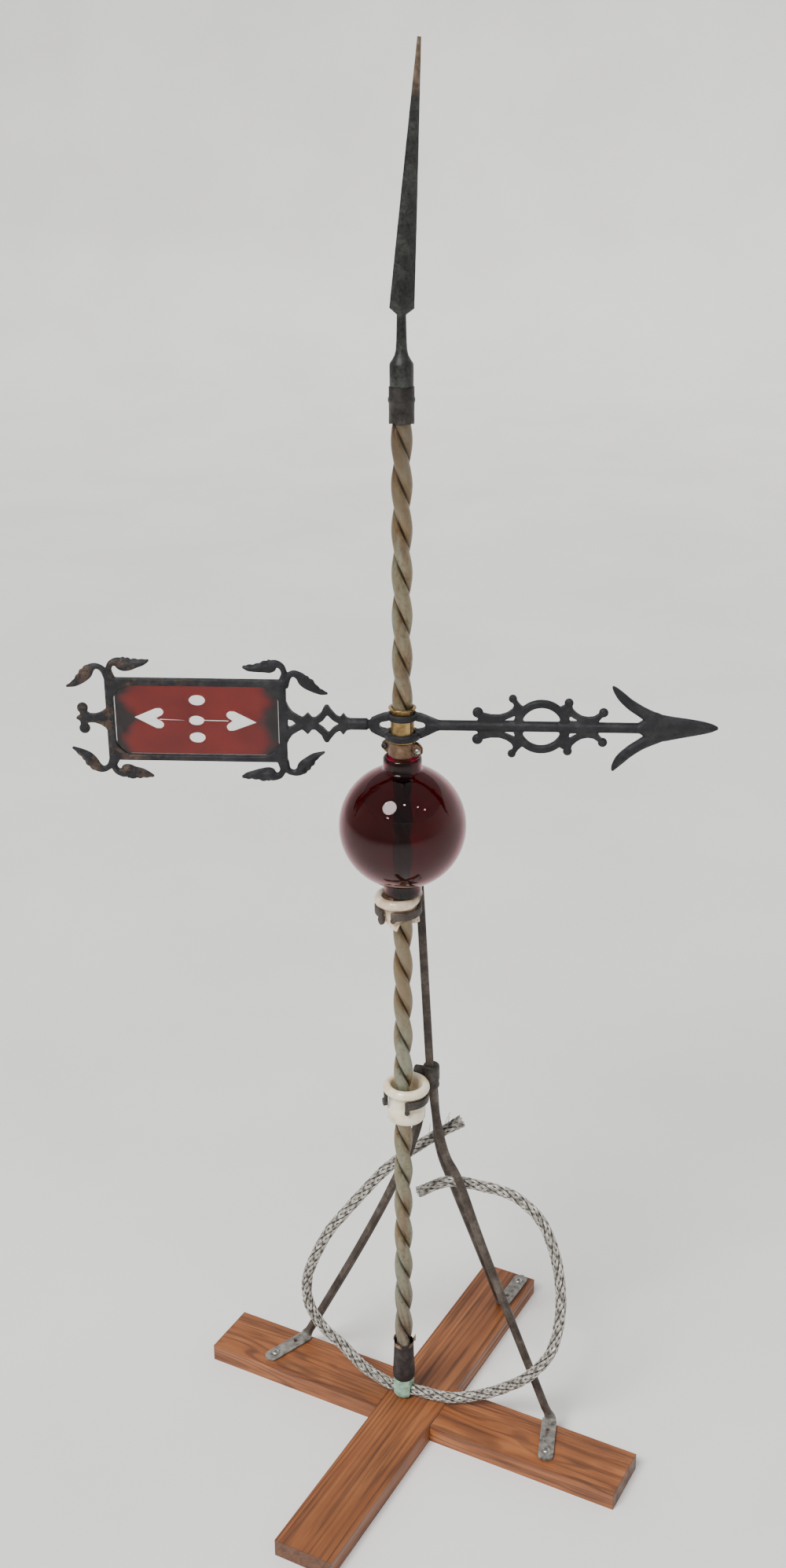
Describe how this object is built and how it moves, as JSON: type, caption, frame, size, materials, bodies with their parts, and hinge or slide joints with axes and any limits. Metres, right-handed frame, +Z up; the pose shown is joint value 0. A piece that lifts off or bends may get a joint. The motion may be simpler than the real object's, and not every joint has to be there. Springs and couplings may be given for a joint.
{
  "type": "weathervane",
  "caption": "Weathervane: an iron arrow with a glazed tail turns on an upright twisted copper rod with a spear point and glass ball, steadied by bent iron legs on a timber cross.",
  "frame": {"origin": "on the rod's axis, at the underside of the timber cross", "axes": "+Z up along the rod, +X along the arrow towards its point at rest, -Y towards the front of the picture"},
  "size_m": [0.5693, 0.4342, 1.3147],
  "materials": {
    "oak": "stained oak, satin",
    "weathered_copper": "old copper with brown and grey-green patina",
    "dark_copper": "blackened copper",
    "verdigris": "copper under verdigris",
    "sleeve_wrap": "dark lapped sheet",
    "porcelain": "cream glaze",
    "aged_porcelain": "stained and broken cream glaze",
    "cast_iron": "black paint over rough casting",
    "rusty_iron": "brown rust",
    "bracket_iron": "dark rust",
    "bright_steel": "plated",
    "brass": "tarnished brass",
    "clamp_copper": "brown copper",
    "ball_glass": "dark ruby glass",
    "ruby_glass": "ruby flashed glass",
    "braid": "dull braided wire"
  },
  "bodies": {
    "stand": {"cross_plank_a": "oak", "cross_plank_b": "oak", "foot_fitting": "verdigris", "foot_sleeve": "sleeve_wrap", "cable_left": "braid", "cable_right": "braid", "rod": "weathered_copper", "insulator_lower": "porcelain", "insulator_upper": "aged_porcelain", "leg_left": "rusty_iron", "leg_right": "rusty_iron", "leg_back": "rusty_iron", "foot_screw_left": "bright_steel", "foot_screw_right": "bright_steel", "foot_screw_back": "bright_steel", "bracket_collar": "bracket_iron", "upper_bar": "rusty_iron", "glass_ball": "ball_glass", "clamp_front": "clamp_copper", "clamp_back": "clamp_copper", "clamp_screw_left": "bright_steel", "clamp_screw_right": "bright_steel", "hub_sleeve": "brass", "point_collar": "dark_copper", "spear_point": "dark_copper"},
    "vane": {"arrow_casting": "cast_iron", "glass_pane": "ruby_glass"}
  },
  "joints": [
    {"name": "vane_spin", "type": "hinge", "parent": "stand", "child": "vane", "pos_m": [0, 0, 0.7597], "axis": [0, 0, 1], "continuous": true}
  ]
}
